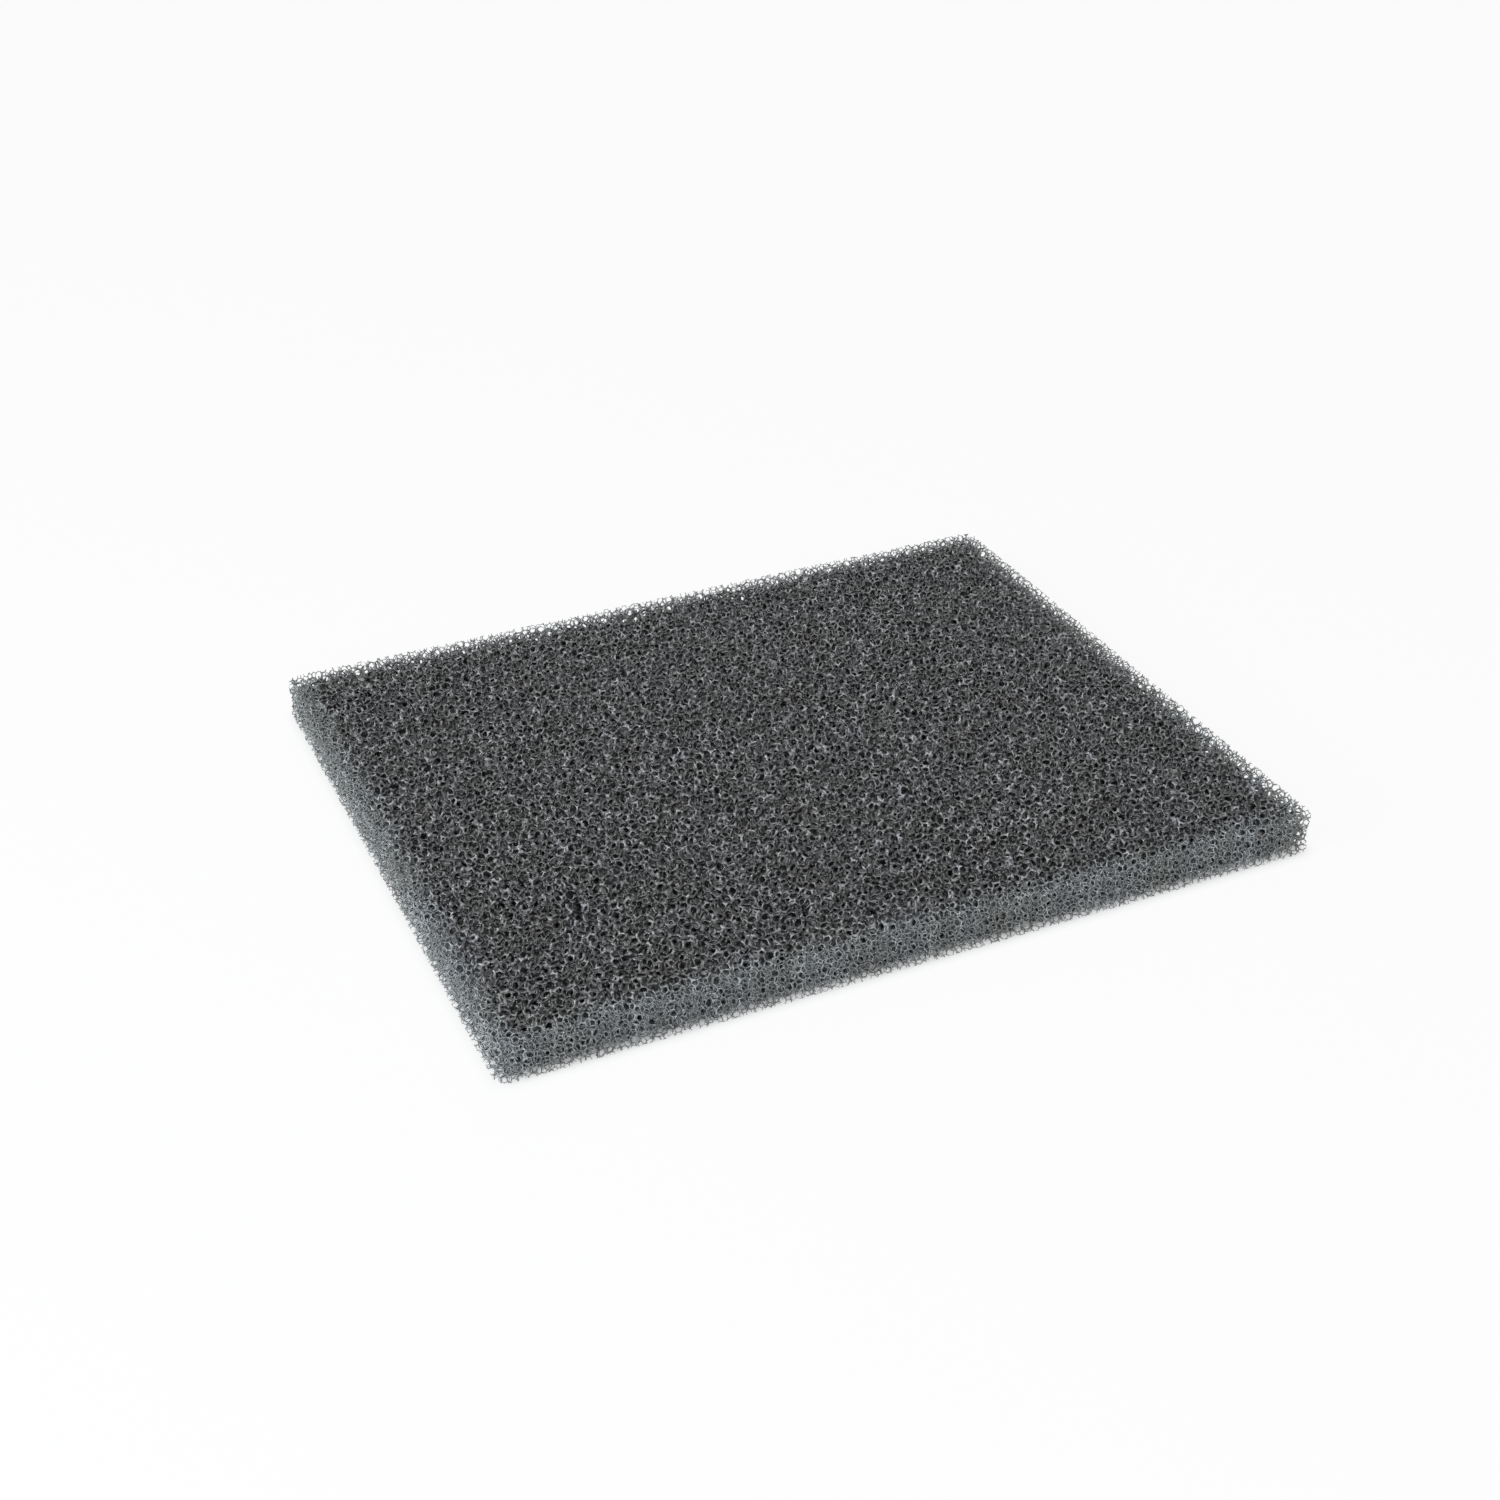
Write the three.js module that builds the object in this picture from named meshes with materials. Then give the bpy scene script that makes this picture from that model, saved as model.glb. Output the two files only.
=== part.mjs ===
// Foam air filter element for a small engine: one flat pad, cut by a die from a sheet of open-cell foam.
// Millimetres, +Z up. The pad lies on its lower face, with the origin at that face's centre and X along the
// long side.
import * as THREE from "three";

// The cut size of the pad
const padLength = 130;
const padWidth = 105;
const padThickness = 7;

// How soft foam takes the cut: the die leaves round corners, the edges of both faces give a little, and the
// sides spring back hollow at half thickness
const cornerRadius = 2.4;
const edgeRadius = 0.7;
const sideHollow = 0.3;

// The cut opens the foam's cells and leaves each one as a bowl of six sides, as deep as a share of half its
// width, and shallower along the pad's edges. The bowls are uneven, and a few cells keep their skins. Real
// cells are about 2 mm wide: these are over twice that, two thousand of them instead of tens of thousands.
const cellWidth = 4.5;
const bowlDepthShare = 1.25;
const edgeDepthShare = 0.9;
const shallowestShare = 0.6;
const unevenShare = 0.2;
const skinnedShare = 0.03;
const foamSeed = 11;

// A regular honeycomb's rows are this share of a cell's width apart, and its corners stand out of their row
// by this share of the row
const rowShare = Math.sqrt(3) / 2;
const cornerShare = 1 / 6;

const charcoalFoam = new THREE.MeshStandardMaterial({
  name: "charcoal_foam",
  color: 0x4c4d4e,
  roughness: 0.95,
  metalness: 0,
});

// A grid of whole steps is laid over the block that the pad is cut to. A cell spans two steps of it one way
// and one step the other, like a brick, so along the length and the thickness a step is half a cell.
const size = [padLength, padWidth, padThickness];
const steps = [
  2 * Math.ceil(padLength / cellWidth),
  Math.ceil(padWidth / (cellWidth * rowShare)),
  2 * Math.ceil(padThickness / cellWidth),
];

// The faces of the block in pairs: the axis that they lie across, and the axes that the bricks' long and
// short sides follow
const facePairs = [
  { across: 2, long: 0, short: 1, turn: 1 },
  { across: 0, long: 2, short: 1, turn: -1 },
  { across: 1, long: 2, short: 0, turn: 1 },
];

// Moves a point of the block on to the pad: round at the upright corners, soft at the edges of both faces
// and hollow along the sides.
function softened([x, y, z]) {
  const coreX = THREE.MathUtils.clamp(x, cornerRadius - padLength / 2, padLength / 2 - cornerRadius);
  const coreY = THREE.MathUtils.clamp(y, cornerRadius - padWidth / 2, padWidth / 2 - cornerRadius);
  const outX = x - coreX;
  const outY = y - coreY;
  const reach = Math.max(Math.abs(outX), Math.abs(outY));
  if (reach === 0) {
    return [x, y, z];
  }
  const intoSide = Math.max(reach - cornerRadius + edgeRadius, 0);
  const intoFace = Math.max(Math.abs(z - padThickness / 2) - padThickness / 2 + edgeRadius, 0);
  const both = Math.hypot(intoSide, intoFace);
  const rounded = both > 0 ? Math.max(intoSide, intoFace) / both : 1;
  const aroundMiddle = Math.max(-Math.cos((z / padThickness) * 2 * Math.PI), 0);
  const hollow = sideHollow * aroundMiddle * (reach / cornerRadius);
  const newReach = reach - intoSide * (1 - rounded) - hollow;
  const outLength = Math.hypot(outX, outY);
  return [
    coreX + (outX / outLength) * newReach,
    coreY + (outY / outLength) * newReach,
    z - Math.sign(z - padThickness / 2) * intoFace * (1 - rounded),
  ];
}

// The cells of one face as loops of grid points, counter-clockwise about long x short: rows of bricks, with
// every other row half a brick along, and half bricks at its ends.
function cellLoops(longSteps, shortSteps) {
  const loops = [];
  for (let row = 0; row < shortSteps; row += 1) {
    for (let from = -(row % 2); from < longSteps; from += 2) {
      const first = Math.max(from, 0);
      const last = Math.min(from + 2, longSteps);
      const loop = [];
      for (let at = first; at <= last; at += 1) {
        loop.push([at, row]);
      }
      for (let at = last; at >= first; at -= 1) {
        loop.push([at, row + 1]);
      }
      loops.push(loop);
    }
  }
  return loops;
}

function padGeometry() {
  const positions = [];
  const triangles = [];
  const numbers = new Map();
  THREE.MathUtils.seededRandom(foamSeed);
  const uneven = () => THREE.MathUtils.lerp(-unevenShare, unevenShare, THREE.MathUtils.seededRandom());

  // A grid point's vertex. Points on a face move within it, points on an edge along it, and the honeycomb
  // pushes every other point of a row to either side.
  function vertexAt(index, { across, long, short }) {
    const key = index.join();
    if (!numbers.has(key)) {
      const point = index.map((at, axis) => (at / steps[axis]) * size[axis]);
      const inner = index.map((at, axis) => at > 0 && at < steps[axis]);
      for (const axis of [0, 1, 2]) {
        point[axis] += inner[axis] ? (uneven() * size[axis]) / steps[axis] : 0;
      }
      if (inner[long] && inner[short] && !inner[across]) {
        const side = (index[long] + index[short]) % 2 === 0 ? 1 : -1;
        point[short] += (side * cornerShare * size[short]) / steps[short];
      }
      point[0] -= padLength / 2;
      point[1] -= padWidth / 2;
      numbers.set(key, positions.length / 3);
      positions.push(...softened(point));
    }
    return numbers.get(key);
  }

  // A bowl's deepest point, or the middle of a skin. Half the bowl's narrowest width and the share for its
  // place set its depth, so that no two bowls meet under an edge. The middle of each broad face keeps its
  // skin.
  function bowlBottom(loop, across, outwards, depthShare) {
    const rim = loop.map((number) => new THREE.Vector3().fromArray(positions, 3 * number));
    const middle = new THREE.Vector3();
    rim.forEach((corner) => middle.addScaledVector(corner, 1 / rim.length));
    const halfWidth = Math.min(
      ...rim.map((corner, i) => {
        const next = rim[(i + 1) % rim.length];
        return corner.clone().lerp(next, 0.5).distanceTo(middle);
      }),
    );
    const central = across === 2 && Math.hypot(middle.x, middle.y) < cellWidth;
    const skinned = THREE.MathUtils.seededRandom() < skinnedShare || central;
    const fullness = THREE.MathUtils.lerp(shallowestShare, 1, THREE.MathUtils.seededRandom());
    const depth = skinned ? 0 : depthShare * fullness * halfWidth;
    middle.setComponent(across, middle.getComponent(across) - outwards * depth);
    positions.push(...middle.toArray());
    return positions.length / 3 - 1;
  }

  for (const pair of facePairs) {
    const { across, long, short, turn } = pair;
    for (const outwards of [-1, 1]) {
      for (const cell of cellLoops(steps[long], steps[short])) {
        const atEdge = cell.some((at) => at[0] % steps[long] === 0 || at[1] % steps[short] === 0);
        const loop = cell.map(([alongLong, alongShort]) => {
          const index = [0, 0, 0];
          index[across] = outwards > 0 ? steps[across] : 0;
          index[long] = alongLong;
          index[short] = alongShort;
          return vertexAt(index, pair);
        });
        if (turn * outwards < 0) {
          loop.reverse();
        }
        const bottom = bowlBottom(loop, across, outwards, atEdge ? edgeDepthShare : bowlDepthShare);
        loop.forEach((corner, i) => triangles.push(corner, loop[(i + 1) % loop.length], bottom));
      }
    }
  }

  const geometry = new THREE.BufferGeometry();
  geometry.setAttribute("position", new THREE.Float32BufferAttribute(positions, 3));
  geometry.setIndex(triangles);
  geometry.computeVertexNormals();
  return geometry;
}

const filterElement = new THREE.Group();
filterElement.name = "filter_element";

const foamPad = new THREE.Mesh(padGeometry(), charcoalFoam);
foamPad.name = "foam_pad";
filterElement.add(foamPad);

export default filterElement;
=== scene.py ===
import math
from itertools import combinations

import bpy
import numpy as np
from mathutils import Euler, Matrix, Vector
from mathutils.kdtree import KDTree


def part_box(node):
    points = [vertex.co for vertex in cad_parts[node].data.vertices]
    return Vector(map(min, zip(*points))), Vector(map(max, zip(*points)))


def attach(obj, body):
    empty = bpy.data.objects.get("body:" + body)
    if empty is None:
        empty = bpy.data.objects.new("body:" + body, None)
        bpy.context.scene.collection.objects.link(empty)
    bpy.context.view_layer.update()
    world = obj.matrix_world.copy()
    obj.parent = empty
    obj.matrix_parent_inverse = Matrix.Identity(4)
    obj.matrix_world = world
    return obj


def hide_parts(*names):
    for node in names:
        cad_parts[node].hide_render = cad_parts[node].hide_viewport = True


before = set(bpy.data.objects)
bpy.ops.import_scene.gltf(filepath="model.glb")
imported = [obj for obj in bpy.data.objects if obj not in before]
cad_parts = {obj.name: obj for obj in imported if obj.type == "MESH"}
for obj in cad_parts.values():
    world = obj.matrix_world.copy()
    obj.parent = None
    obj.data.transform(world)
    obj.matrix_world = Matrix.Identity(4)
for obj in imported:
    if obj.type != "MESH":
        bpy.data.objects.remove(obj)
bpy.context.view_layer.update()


# Camera
# It stands off the pad's near left corner and looks down on it. The pad's long side runs away to the
# lower right of the picture and its short side to the upper right.
view_distance = 0.3555
view_down = math.radians(32.06)
view_turn = math.radians(24.9)
view_roll = math.radians(0.14)
looked_at = Vector((0.0, 0.0096, 0.0))
lens_length = 52.6
film_width = 36
nearest_seen = 0.01
farthest_seen = 10

sight = Vector((
    math.sin(view_turn) * math.cos(view_down),
    math.cos(view_turn) * math.cos(view_down),
    -math.sin(view_down),
))
bpy.ops.object.camera_add(location=looked_at - view_distance * sight)
camera = bpy.context.object
camera.rotation_mode = "QUATERNION"
camera.rotation_quaternion = sight.to_track_quat("-Z", "Y") @ Euler((0, 0, view_roll)).to_quaternion()
camera.data.sensor_width = film_width
camera.data.lens = lens_length
camera.data.clip_start = nearest_seen
camera.data.clip_end = farthest_seen
bpy.context.scene.camera = camera
bpy.context.scene.view_settings.view_transform = "Standard"


# White table
# The pad lies on a broad sheet of white paper. The camera sees it as clean white with a faint shadow
# round the pad, and as dark as it really is where it shows through the foam.
class Wire:
    """An output of a shader node. Python sums on it add the Math nodes that work them out."""

    def __init__(self, tree, socket):
        self.tree = tree
        self.socket = socket

    @classmethod
    def add(cls, tree, kind, settings=(), stops=(), inputs=()):
        """Adds a node: its settings, a ramp's stops, then a value or a wire for each socket named."""
        node = tree.nodes.new(kind)
        for name, value in dict(settings).items():
            setattr(node, name, value)
        for number, (position, color) in enumerate(stops):
            while number >= len(node.color_ramp.elements):
                node.color_ramp.elements.new(position)
            node.color_ramp.elements[number].position = position
            node.color_ramp.elements[number].color = color
        for name, value in dict(inputs).items():
            socket = node.inputs[name]
            if isinstance(value, Wire):
                tree.links.new(value.socket, socket)
            else:
                socket.default_value = value
        return cls(tree, node.outputs[0]) if node.outputs else node

    def output(self, name):
        return Wire(self.tree, self.socket.node.outputs[name])

    def maths(self, operation, first, second):
        return Wire.add(self.tree, "ShaderNodeMath", {"operation": operation}, inputs={0: first, 1: second})

    def __add__(self, other):
        return self.maths("ADD", self, other)

    __radd__ = __add__

    def __sub__(self, other):
        return self.maths("SUBTRACT", self, other)

    def __rsub__(self, other):
        return self.maths("SUBTRACT", other, self)

    def __mul__(self, other):
        return self.maths("MULTIPLY", self, other)

    __rmul__ = __mul__

    def __abs__(self):
        return Wire.add(self.tree, "ShaderNodeMath", {"operation": "ABSOLUTE"}, inputs={0: self})


def empty_tree(owner):
    owner.use_nodes = True
    owner.node_tree.nodes.clear()
    return owner.node_tree


def seen_as_backdrop(tree):
    """One for a ray that the camera sends straight, by a mirror or through glass, and else zero."""
    ray = Wire.add(tree, "ShaderNodeLightPath")
    return ray.output("Is Camera Ray") + ray.output("Is Glossy Ray") + ray.output("Is Transmission Ray")


def within(tree, half_size, blur):
    """One over the middle of the pad's plan, and smoothly zero towards the given half length and width."""
    place = Wire.add(tree, "ShaderNodeTexCoord").output("Object")
    spot = Wire.add(tree, "ShaderNodeSeparateXYZ", inputs={"Vector": place})
    along, across = (
        Wire.add(
            tree, "ShaderNodeMapRange", {"interpolation_type": "SMOOTHSTEP"},
            inputs={"Value": abs(spot.output(axis)), "From Min": reach - blur, "From Max": reach,
                    "To Min": 1.0, "To Max": 0.0},
        )
        for axis, reach in zip("XY", half_size)
    )
    return along * across


white = (1, 1, 1, 1)
paper_white = (0.9, 0.9, 0.9, 1)
paper_size = 3.0
shadow_share = 0.08
shade_edge = 0.0015
shade_blur = 0.005

low, high = (np.array(corner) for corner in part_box("foam_pad"))
middle = (low + high) / 2
half = (high - low) / 2

bpy.ops.object.select_all(action="DESELECT")
bpy.ops.mesh.primitive_plane_add(size=paper_size)
table = bpy.context.object
table.name = "white_table"
paper = bpy.data.materials.new("white_paper")
tree = empty_tree(paper)
lit = Wire.add(tree, "ShaderNodeBsdfDiffuse", inputs={"Color": paper_white})
clean = Wire.add(tree, "ShaderNodeEmission", inputs={"Color": white, "Strength": 1})
under_pad = within(tree, half[:2] + shade_edge, shade_blur)
shown_clean = seen_as_backdrop(tree) * ((1 - shadow_share) * (1 - under_pad))
shown = Wire.add(tree, "ShaderNodeMixShader", inputs={0: shown_clean, 1: lit, 2: clean})
Wire.add(tree, "ShaderNodeOutputMaterial", inputs={"Surface": shown})
table.data.materials.append(paper)


# Light tent
# White cloth all round, and three soft boxes: a broad one beside the camera, which lights the cells to
# their bottoms, one low on the pad's left and one beyond the pad, which draws glints from the ribs.
tent_strength = 0.18
soft_boxes = {
    "near_soft_box": {"place": (-0.36, -0.77, 0.53), "size": 0.50, "power": 5.5, "tint": (1, 1, 1)},
    "left_soft_box": {"place": (-0.82, -0.15, 0.36), "size": 0.35, "power": 6.5, "tint": (0.94, 1, 1.03)},
    "far_soft_box": {"place": (0.34, 0.73, 0.56), "size": 0.35, "power": 1.2, "tint": (1, 1, 1)},
}

world = bpy.data.worlds.new("tent")
bpy.context.scene.world = world
tree = empty_tree(world)
tent = Wire.add(tree, "ShaderNodeBackground", inputs={"Color": white, "Strength": tent_strength})
clean = Wire.add(tree, "ShaderNodeBackground", inputs={"Color": white, "Strength": 1})
shown = Wire.add(tree, "ShaderNodeMixShader", inputs={0: seen_as_backdrop(tree), 1: tent, 2: clean})
Wire.add(tree, "ShaderNodeOutputWorld", inputs={"Surface": shown})

for name, box in soft_boxes.items():
    bpy.ops.object.light_add(type="AREA", location=box["place"])
    lamp = bpy.context.object
    lamp.name = name
    lamp.data.size = box["size"]
    lamp.data.energy = box["power"]
    lamp.data.color = box["tint"]
    lamp.rotation_mode = "QUATERNION"
    lamp.rotation_quaternion = (-Vector(box["place"])).to_track_quat("-Z", "Y")


# Foam pad: the cut
# A die cuts the pad from a sheet of open-cell polyurethane foam. It leaves round corners, the edges of
# both faces give a little, and the sides, which it presses, spring back slightly hollow.
corner_radius = 0.0024
edge_radius = 0.0010
side_hollow = 0.0003


def depth_in_pad(points):
    """How far each point lies under the pad's skin, less than nothing outside it."""
    at = points - middle
    up = np.clip((at[..., 2] + half[2]) / (2 * half[2]), 0, 1)
    plan = half[:2] - side_hollow * np.sin(np.pi * up)[..., None] - np.abs(at[..., :2])
    in_corner = np.minimum(plan - corner_radius, 0)
    from_side = np.where(
        (in_corner < 0).all(-1),
        corner_radius - np.linalg.norm(in_corner, axis=-1),
        plan.min(-1),
    )
    from_face = half[2] - np.abs(at[..., 2])
    both = np.stack([from_side, from_face], -1)
    at_edge = (both < edge_radius).all(-1)
    rounded = edge_radius - np.linalg.norm(edge_radius - both, axis=-1)
    return np.where(at_edge, rounded, both.min(-1))


# Foam pad: bubbles
# The foam rose as bubbles, which grew until they filled the sheet and pressed each other into cells of
# about fourteen walls. The cells are finest along the pad's sides and coarsest halfway through it.
side_cell = 0.0014
face_cell = 0.00175
core_cell = 0.0030
fine_side_band = 0.004
cells_beyond_skin = 1.15
strewing = 0.5
bubble_rounds = 10
bubble_push = 0.25
neighbours = 12
foam_seed = 11
chance = np.random.default_rng(foam_seed)


def cell_size_at(points):
    """How wide a cell at each point is."""
    at = np.abs(points - middle)
    into_face = np.clip(1 - at[:, 2] / half[2], 0, 1)
    into_side = np.clip((half[:2] - at[:, :2]).min(1) / fine_side_band, 0, 1)
    size = face_cell + (core_cell - face_cell) * into_face
    return side_cell + (size - side_cell) * into_side


def nearest(bubbles, count):
    """For each bubble, the numbers of those nearest to it, the nearest first."""
    tree = KDTree(len(bubbles))
    for number, bubble in enumerate(bubbles):
        tree.insert(bubble, number)
    tree.balance()
    return np.array([[number for _, number, _ in tree.find_n(at, count + 1)][1:] for at in bubbles])


def grow_bubbles():
    """The bubbles' middles: strewn over a sheet somewhat larger than the pad, then pushed apart."""
    room = half + cells_beyond_skin * face_cell

    # A cube of this spacing holds as much as a ball as wide as the finest cell
    spacing = (math.pi / 6) ** (1 / 3) * side_cell
    steps = [np.arange(-reach, reach, spacing) for reach in room]
    bubbles = middle + np.stack(np.meshgrid(*steps), -1).reshape(-1, 3)
    bubbles = bubbles[chance.random(len(bubbles)) < (side_cell / cell_size_at(bubbles)) ** 3]
    bubbles += chance.uniform(-strewing, strewing, bubbles.shape) * spacing
    for _ in range(bubble_rounds):
        size = cell_size_at(bubbles)
        near = nearest(bubbles, neighbours)
        away = bubbles[:, None] - bubbles[near]
        distance = np.linalg.norm(away, axis=2)
        wanted = (size[:, None] + size[near]) / 2
        push = bubble_push * np.clip(wanted / distance - 1, 0, 1)
        bubbles = bubbles + (away * push[..., None]).sum(1)
        bubbles = middle + np.clip(bubbles - middle, -room, room)
    return bubbles[np.argsort(bubbles[:, 0])]


bubbles = grow_bubbles()


# Foam pad: knots
# Four bubbles meet in a knot. Its place is the middle of an empty ball that touches all four, so sets of
# four are tried among close bubbles, and those whose ball holds no fifth are kept.
near_count = 34
first_count = 12
widest_gap = 1.7
sets_at_once = 300000
touching = 1 - 1e-7


def ball_centres(one, two, three):
    """From a first point, the centres of the balls through it and three more, given as seen from it."""
    across = np.cross(two, three)
    total = (
        (one * one).sum(1)[:, None] * across
        + (two * two).sum(1)[:, None] * np.cross(three, one)
        + (three * three).sum(1)[:, None] * np.cross(one, two)
    )
    with np.errstate(divide="ignore", invalid="ignore"):
        return total / (2 * (one * across).sum(1))[:, None]


def close_fours(near, gap):
    """The sets of four bubbles that lie close to each other: the first of each, and the other three."""
    apart = np.linalg.norm(bubbles[near] - bubbles[:, None], axis=2)
    later = (near > np.arange(len(bubbles))[:, None]) & (apart < gap[:, None])
    count = later.sum(1)
    for many in np.unique(count[count >= 3]):
        rows = np.flatnonzero(count == many)
        others = near[rows][later[rows]].reshape(-1, many)
        apart = np.linalg.norm(bubbles[others][:, :, None] - bubbles[others][:, None], axis=3)
        close = apart < gap[rows][:, None, None]
        picks = np.array(list(combinations(range(many), 3)))
        one, two, three = picks.T
        row, pick = np.nonzero(close[:, one, two] & close[:, one, three] & close[:, two, three])
        for part in np.array_split(np.arange(len(row)), len(row) // sets_at_once + 1):
            yield rows[row[part]], others[row[part][:, None], picks[pick[part]]]


def find_knots():
    """The four bubbles of each knot, by number, and its place."""
    near = nearest(bubbles, near_count)
    size = cell_size_at(bubbles)
    sets = []
    places = []
    for first, three in close_fours(near, widest_gap * size):
        centre = ball_centres(*(bubbles[three] - bubbles[first][:, None]).transpose(1, 0, 2))
        square = (centre * centre).sum(1)
        good = np.flatnonzero(square < size[first] ** 2)
        for tried in (near[:, :first_count], near[:, first_count:]):
            reach = bubbles[tried[first[good]]] - (bubbles[first[good]] + centre[good])[:, None]
            good = good[((reach * reach).sum(2) > touching * square[good][:, None]).all(1)]
        sets.append(np.concatenate([first[good][:, None], three[good]], 1))
        places.append(bubbles[first[good]] + centre[good])
    return np.sort(np.concatenate(sets), 1), np.concatenate(places)


cells, knots = find_knots()


# Foam pad: ribs
# A flame burnt the walls between the bubbles away and left the ribs, each from one knot to another that
# shares three of its bubbles. Ribs are three-sided, thick at the knots and slimmer between them.
straightening_rounds = 3
straightening = 0.6


def find_ribs():
    """The two knots of each rib, and which of its four bubbles each of them doesn't share."""
    threes = np.concatenate([np.delete(cells, corner, 1) for corner in range(4)])
    knot = np.tile(np.arange(len(knots)), 4)
    left_out = np.repeat(np.arange(4), len(knots))
    key = (threes[:, 0] * len(bubbles) + threes[:, 1]) * len(bubbles) + threes[:, 2]
    order = np.argsort(key, kind="stable")
    twin = np.flatnonzero(key[order][1:] == key[order][:-1])
    pair = np.stack([order[twin], order[twin + 1]], 1)
    return knot[pair], left_out[pair]


def pulled_straight():
    """The knots' places after the skins between them have pulled the ribs short and straight."""
    placed = knots
    from_knot = ribs.ravel()
    to_knot = ribs[:, ::-1].ravel()
    for _ in range(straightening_rounds):
        total = np.stack([np.bincount(from_knot, to, len(knots)) for to in placed[to_knot].T], 1)
        evened = placed + straightening * (total / np.maximum(rib_count, 1)[:, None] - placed)
        placed = np.where((rib_count == 4)[:, None], evened, placed)
    return placed


def hanging_together(inside):
    """The knots in the pad that hang together. What the die cuts loose falls out."""
    label = np.where(inside, np.arange(len(knots)), -1)
    first, second = ribs[inside[ribs].all(1)].T
    while True:
        most = label.copy()
        np.maximum.at(most, first, label[second])
        np.maximum.at(most, second, most[first])
        most = np.where(most >= 0, most[most], -1)
        if (most == label).all():
            return inside & (label == np.bincount(label[label >= 0]).argmax())
        label = most


ribs, misses = find_ribs()
rib_count = np.bincount(ribs.ravel(), minlength=len(knots))
knots = pulled_straight()
inside = hanging_together((depth_in_pad(knots) > 0) & (rib_count == 4))

# Each rib starts at a knot in the pad, and one that the die cut has no second knot there
kept = inside[ribs].any(1)
ribs = ribs[kept]
misses = misses[kept]
outwards = ~inside[ribs[:, 0]]
ribs[outwards] = ribs[outwards][:, ::-1]
misses[outwards] = misses[outwards][:, ::-1]
start, end = ribs.T
cut = ~inside[end]
line = knots[end] - knots[start]
length = np.linalg.norm(line, axis=1)


# Foam pad: thickness of the ribs
# A knot has a corner in each of its four bubbles, and a rib's three sides run from the corners of one
# knot to those of the next. Ribs are thicker where the cells are larger, so that all hide as much, and
# slimmer along the frayed sides. Most knots are slim and a few are twice as thick.
hiding = 56.0
core_hiding = 110.0
frayed_share = 0.42
frayed_band = 0.0042
thinnest_share = 1.0
thickest_share = 1.9
thick_rarity = 3
slimming = 0.25
full_slimming_length = 0.5
slimmed_depth = 0.0008
shortest_stub = 0.04
waist_share = 0.5
no_length = 1e-9

# A corner points into its bubble, and away from the one rib of the knot that leaves this bubble out
corner_way = bubbles[cells] - knots[:, None]
corner_way /= np.linalg.norm(corner_way, axis=2)[..., None]
along = line / np.maximum(length, no_length)[:, None]
corner_way[start, misses[:, 0]] -= along
corner_way[end, misses[:, 1]] += along
corner_way /= np.linalg.norm(corner_way, axis=2)[..., None]

# How far a corner stands off its knot
into_core = np.clip(depth_in_pad(knots) / half[2], 0, 1)
into_side = np.clip((half[:2] - np.abs(knots - middle)[:, :2]).min(1) / frayed_band, 0, 1)
girth = (hiding + (core_hiding - hiding) * into_core) * cell_size_at(knots) ** 2
girth *= frayed_share + (1 - frayed_share) * into_side
girth *= thinnest_share + (thickest_share - thinnest_share) * chance.random(len(knots)) ** thick_rarity
corners = knots[:, None] + girth[:, None, None] * corner_way

# The three corners that a rib's sides start from or run to, counted round it the same way at both ends
shared_corners = np.array([[1, 2, 3], [0, 2, 3], [0, 1, 3], [0, 1, 2]])
start_side = shared_corners[misses[:, 0]]
end_side = shared_corners[misses[:, 1]]
ring = corners[start[:, None], start_side]
backwards = (np.cross(ring[:, 1] - ring[:, 0], ring[:, 2] - ring[:, 0]) * line).sum(1) < 0
start_side[backwards] = start_side[backwards][:, ::-1]
end_side[backwards] = end_side[backwards][:, ::-1]
start_ring = corners[start[:, None], start_side]
end_ring = corners[end[:, None], end_side]

# A rib's middle ring: the waist of a whole rib, or the flat end of a cut one, in the pad's skin. Deep in
# the pad, where it wouldn't show, a whole rib goes without.
start_depth = depth_in_pad(start_ring)
end_depth = depth_in_pad(end_ring)
share = np.clip(start_depth / np.maximum(start_depth - end_depth, no_length), shortest_stub, 1)
share = np.where(cut[:, None], share, waist_share)
waist = start_ring + share[..., None] * (end_ring - start_ring)
stretch = np.clip(length / (full_slimming_length * cell_size_at(knots[start])), 0, 1)
slimmed = slimming * stretch * np.sin(np.pi * share.mean(1))
waist += slimmed[:, None, None] * (waist.mean(1)[:, None] - waist)
waisted = cut | (depth_in_pad(waist.mean(1)) < slimmed_depth)


# Foam pad: finish
# The ribs are polyurethane dyed charcoal right through, with the gloss of smooth plastic. The dye took
# unevenly. Along the sides the ribs are coloured paler and bluer as painted light, and palest at their
# cut tips as a painted highlight along the pad's edges.
mottle_scale = 850.0
mottle_detail = 0.0
dark_at = 0.51
light_at = 0.73
dark_rib = (0.0285, 0.0289, 0.0299, 1)
light_rib = (0.262, 0.266, 0.276, 1)
# Painted side light: paler, bluer colours for the ribs along the sides, in place of the light they catch
painted_light_side_rib_dark = (0.088, 0.094, 0.097, 1)
painted_light_side_rib_pale = (0.201, 0.215, 0.222, 1)
# Painted highlight: the palest colours, for the ribs at the pad's edges, palest at their cut tips
painted_highlight_tip_dark = (0.171, 0.182, 0.187, 1)
painted_highlight_tip_pale = (0.401, 0.427, 0.439, 1)
# How far in from the sides the painted highlight fades out
painted_highlight_fade = 0.0052
# How far in from the sides the painted side light reaches, and over what width it fades out
painted_side_light_band = 0.0023
painted_side_light_fade = 0.0022
patch_scale = 120.0
patch_detail = 2.0
dull_at = 0.3
fresh_at = 0.7
dull_patch = (0.945, 0.926, 0.880, 1)
fresh_patch = (1.055, 1.074, 1.120, 1)
rib_roughness = 0.30
rib_shine = 0.7

# The Mix node's sockets for colours, by number, because their names are those of its other sockets
mix_share = 0
mix_first = 6
mix_second = 7
mix_result = 2


def ramp(tree, share, *stops):
    """A colour for each share, between those of the stops."""
    return Wire.add(tree, "ShaderNodeValToRGB", stops=stops, inputs={"Fac": share})


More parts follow.
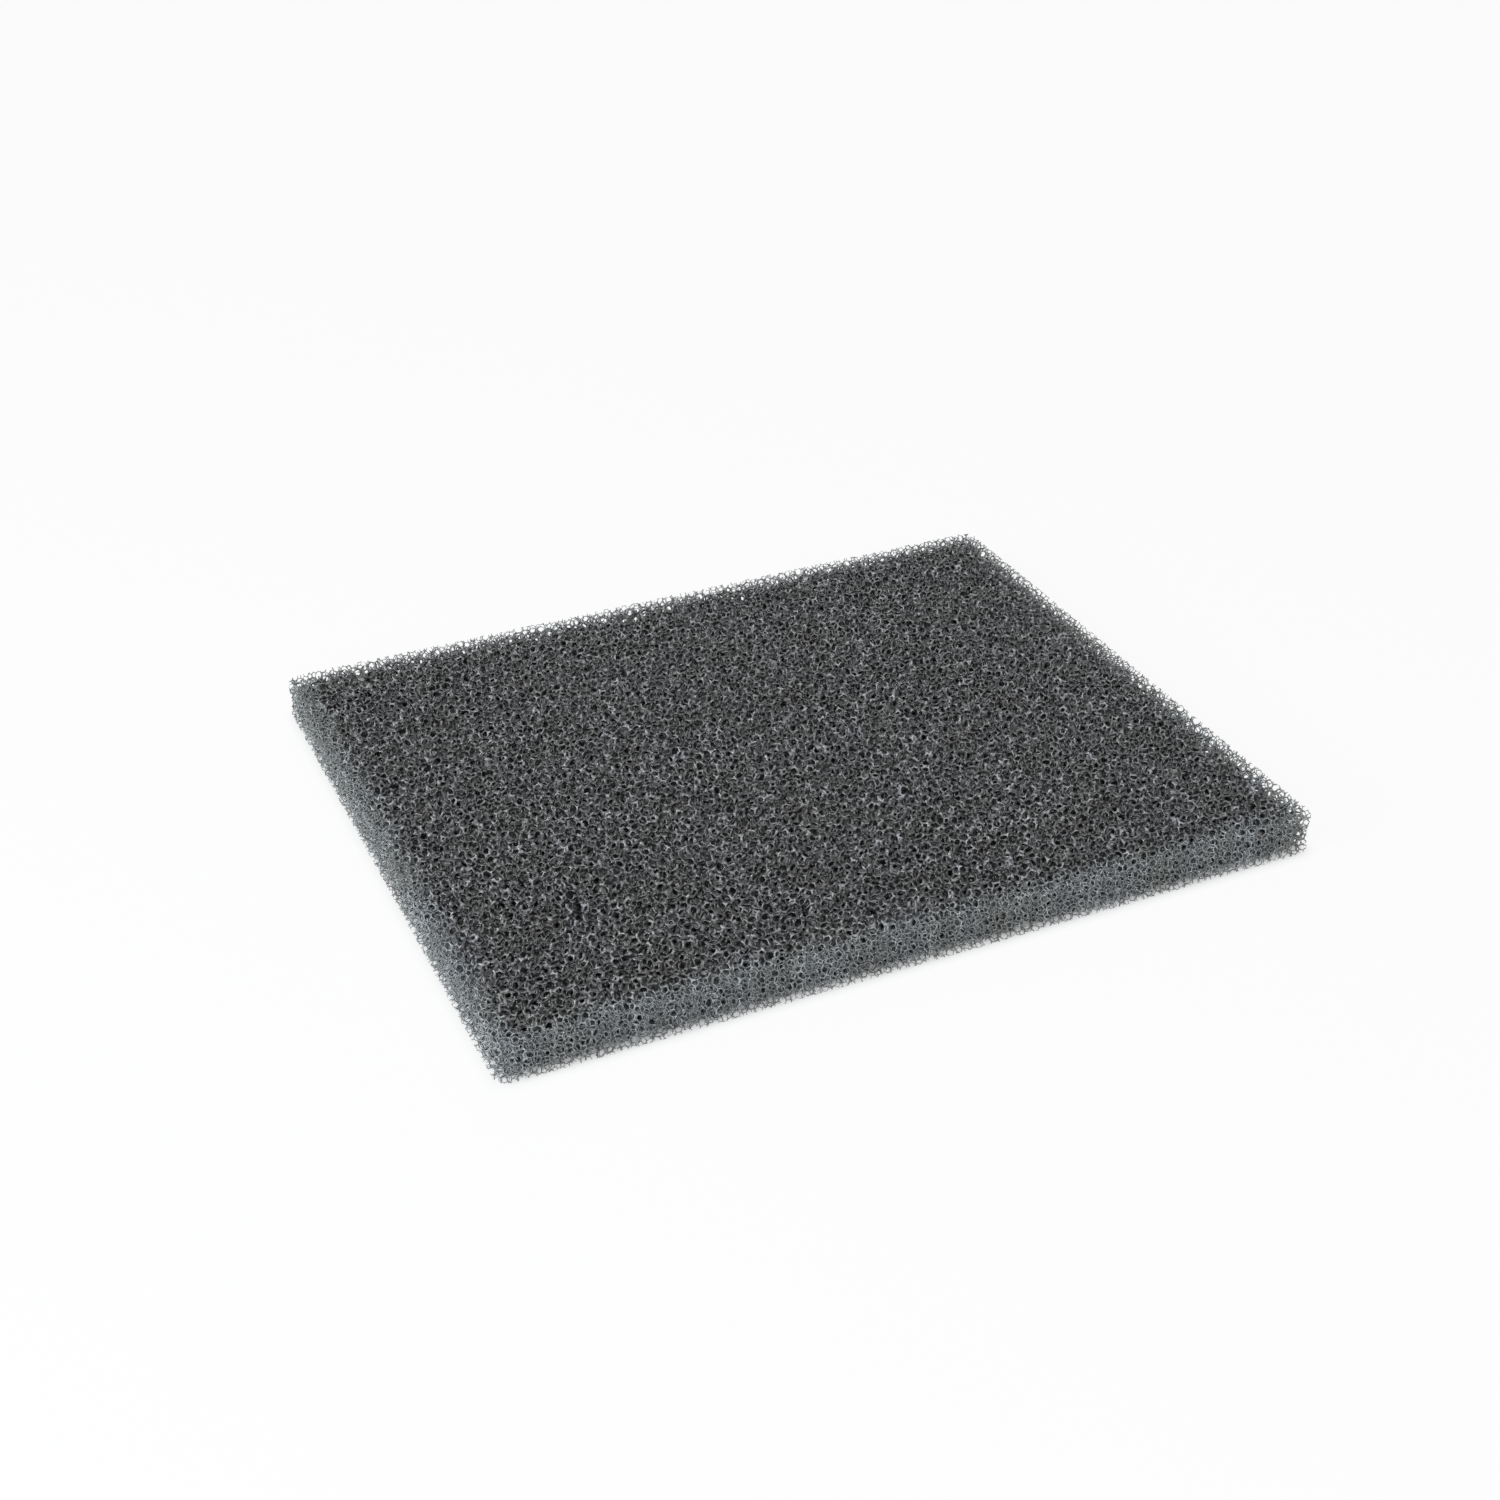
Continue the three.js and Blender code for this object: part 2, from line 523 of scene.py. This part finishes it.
def mixed(tree, share, first, second, how="MIX"):
    """The first colour where the share is zero, and mixed with the second as it rises to one."""
    mix = Wire.add(
        tree, "ShaderNodeMix", {"data_type": "RGBA", "blend_type": how},
        inputs={mix_share: share, mix_first: first, mix_second: second},
    )
    return mix.output(mix_result)


foam = bpy.data.materials.new("charcoal_foam")
tree = empty_tree(foam)
place = Wire.add(tree, "ShaderNodeTexCoord").output("Object")
plan = Wire.add(tree, "ShaderNodeMapping", inputs={"Vector": place, "Scale": (1, 1, 0)})
mottle = Wire.add(
    tree, "ShaderNodeTexNoise",
    inputs={"Vector": plan, "Scale": mottle_scale, "Detail": mottle_detail},
)
patches = Wire.add(
    tree, "ShaderNodeTexNoise", inputs={"Vector": plan, "Scale": patch_scale, "Detail": patch_detail},
)
faces = ramp(tree, mottle, (dark_at, dark_rib), (light_at, light_rib))
# The painted side light, mottled like the faces
painted_side_light = ramp(tree, mottle, (dark_at, painted_light_side_rib_dark), (light_at, painted_light_side_rib_pale))
# The painted highlight along the pad's edges
painted_tip_highlight = ramp(tree, mottle, (dark_at, painted_highlight_tip_dark), (light_at, painted_highlight_tip_pale))
tint = ramp(tree, patches, (dull_at, dull_patch), (fresh_at, fresh_patch))
# One away from the sides, and zero where the painted side light shows
off_painted_side_light = within(tree, half[:2] - painted_side_light_band, painted_side_light_fade)
# One away from the edges, and zero where the painted highlight is palest
off_painted_highlight = within(tree, half[:2], painted_highlight_fade)
# The charcoal dye, with the painted side light and the painted highlight at the cut tips mixed in
dye_and_painted_light = mixed(tree, off_painted_highlight, painted_tip_highlight, mixed(tree, off_painted_side_light, painted_side_light, faces))
color = mixed(tree, 1.0, dye_and_painted_light, tint, how="MULTIPLY")
shader = Wire.add(
    tree, "ShaderNodeBsdfPrincipled",
    inputs={"Base Color": color, "Roughness": rib_roughness, "Specular IOR Level": rib_shine},
)
Wire.add(tree, "ShaderNodeOutputMaterial", inputs={"Surface": shader})


# Foam pad: blocks
# The pad is one piece of foam. It has too many ribs for one mesh, so they are kept in blocks that join
# without a seam: where a rib crosses from one block to the next, both are closed by the same triangle.
columns = 5
rows = 3


def strips(at, low_end, full_length, count):
    """Which of so many equal strips of the pad each place lies in, counted from the low end."""
    return np.clip((at - low_end) / full_length * count, 0, count - 1).astype(int)


def rib_sides(one, two):
    """The three four-sided walls between two rings of three points."""
    following = np.roll(np.arange(3), -1)
    return np.stack([one, one[:, following], two[:, following], two], 2).reshape(-1, 4)


def foam_mesh(name, quads, triangles):
    """A mesh of faces that are given by the numbers of the foam's points."""
    used, faces = np.unique(np.concatenate([quads.ravel(), triangles.ravel()]), return_inverse=True)
    starts = np.concatenate([np.arange(len(quads)) * 4, quads.size + np.arange(len(triangles)) * 3])
    mesh = bpy.data.meshes.new(name)
    mesh.vertices.add(len(used))
    mesh.vertices.foreach_set("co", points[used].astype(np.float32).ravel())
    mesh.loops.add(len(faces))
    mesh.loops.foreach_set("vertex_index", faces.astype(np.int32))
    mesh.polygons.add(len(starts))
    mesh.polygons.foreach_set("loop_start", starts.astype(np.int32))
    mesh.update(calc_edges=True)
    mesh.validate()
    mesh.polygons.foreach_set("use_smooth", np.ones(len(mesh.polygons), bool))
    return mesh


def add_plan_map(mesh):
    """A UV map that looks straight down on the block."""
    seen = np.empty(3 * len(mesh.vertices), np.float32)
    mesh.vertices.foreach_get("co", seen)
    seen = seen.reshape(-1, 3)[:, :2]
    corner = np.empty(len(mesh.loops), np.int32)
    mesh.loops.foreach_get("vertex_index", corner)
    seen = (seen - seen.min(0)) / (seen.max(0) - seen.min(0)).max()
    mesh.uv_layers.new(name="OFBake").uv.foreach_set("vector", seen[corner].ravel())


# All points in one list, and each ring by its points' numbers there
points = np.concatenate([corners.reshape(-1, 3), waist.reshape(-1, 3)])
start_ring = 4 * start[:, None] + start_side
end_ring = 4 * end[:, None] + end_side
waist_ring = corners.size // 3 + 3 * np.arange(len(ribs))[:, None] + np.arange(3)

column = strips(knots[:, 0], low[0], 2 * half[0], columns)
row = strips(knots[:, 1], low[1], 2 * half[1], rows)
block = column * rows + row
for number in range(columns * rows):
    name = "foam_%d" % number
    mine = block[start] == number
    crossing = ~cut & (block[end] != block[start])
    quads = np.concatenate([
        rib_sides(start_ring[mine & waisted], waist_ring[mine & waisted]),
        rib_sides(waist_ring[mine & waisted & ~cut], end_ring[mine & waisted & ~cut]),
        rib_sides(start_ring[mine & ~waisted], end_ring[mine & ~waisted]),
    ])

    # The flat ends of the cut ribs, and the triangle that closes a crossing rib in both of its blocks
    triangles = np.concatenate([
        waist_ring[mine & cut],
        end_ring[mine & crossing],
        end_ring[crossing & (block[end] == number)][:, ::-1],
    ])

    mesh = foam_mesh(name, quads, triangles)
    add_plan_map(mesh)
    mesh.materials.append(foam)
    piece = bpy.data.objects.new(name, mesh)
    bpy.context.collection.objects.link(piece)
    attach(piece, "root")
    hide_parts("foam_pad")
